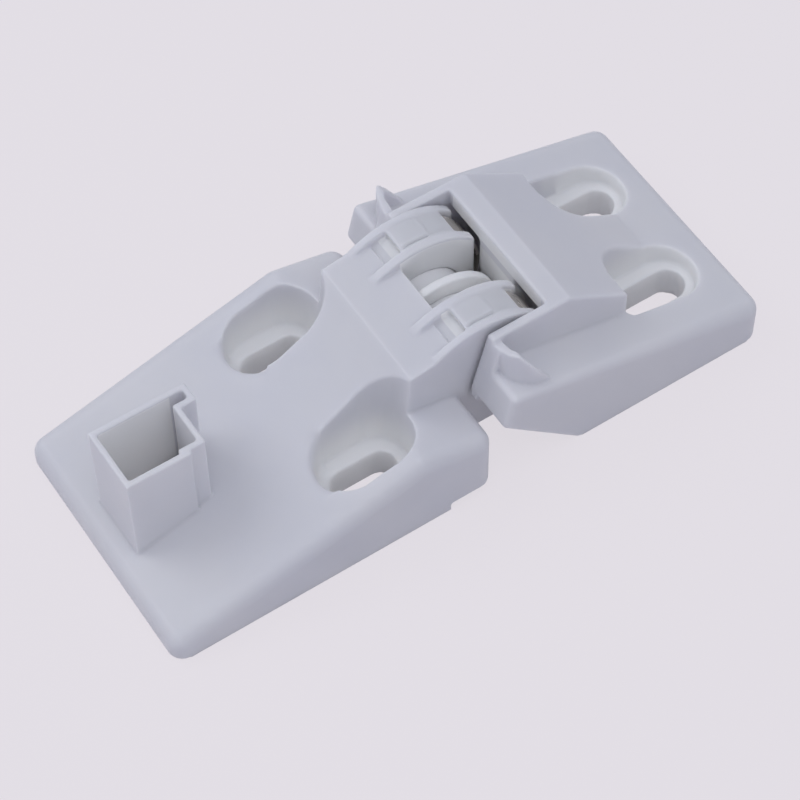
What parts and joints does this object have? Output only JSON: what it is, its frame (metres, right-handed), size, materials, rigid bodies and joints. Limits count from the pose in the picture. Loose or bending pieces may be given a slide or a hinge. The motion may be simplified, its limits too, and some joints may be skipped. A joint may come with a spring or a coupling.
{
  "type": "appliance lid hinge",
  "caption": "White moulded lid hinge for a chest fridge or freezer: two wedge leaves with slotted screw pockets, joined by a sprung barrel.",
  "frame": {"origin": "on the mounting plane, under the middle of the whole hinge; the hinge axis is 10.95 mm from it along +X", "axes": "+X from the cabinet leaf to the lid leaf, +Y along the hinge axis, +Z away from the mounting plane"},
  "size_m": [0.1696, 0.07, 0.0423],
  "materials": {
    "white_moulding": "satin moulded plastic",
    "gloss_white": "smooth bright white plastic",
    "pin_steel": "ground steel",
    "spring_steel": "dark oiled spring strip"
  },
  "bodies": {
    "cabinet_side": {"cabinet_leaf": "white_moulding", "spiral_spring_near": "spring_steel", "spiral_spring_far": "spring_steel"},
    "lid_side": {"lid_leaf": "white_moulding", "spring_arbor": "gloss_white", "pivot_pin": "pin_steel"}
  },
  "joints": [
    {"name": "lid_pivot", "type": "hinge", "parent": "cabinet_side", "child": "lid_side", "pos_m": [0.01095, 0, 0.0203], "axis": [0, -1, 0], "range_deg": [0, 70], "deforming": ["spiral_spring_near", "spiral_spring_far"]}
  ]
}
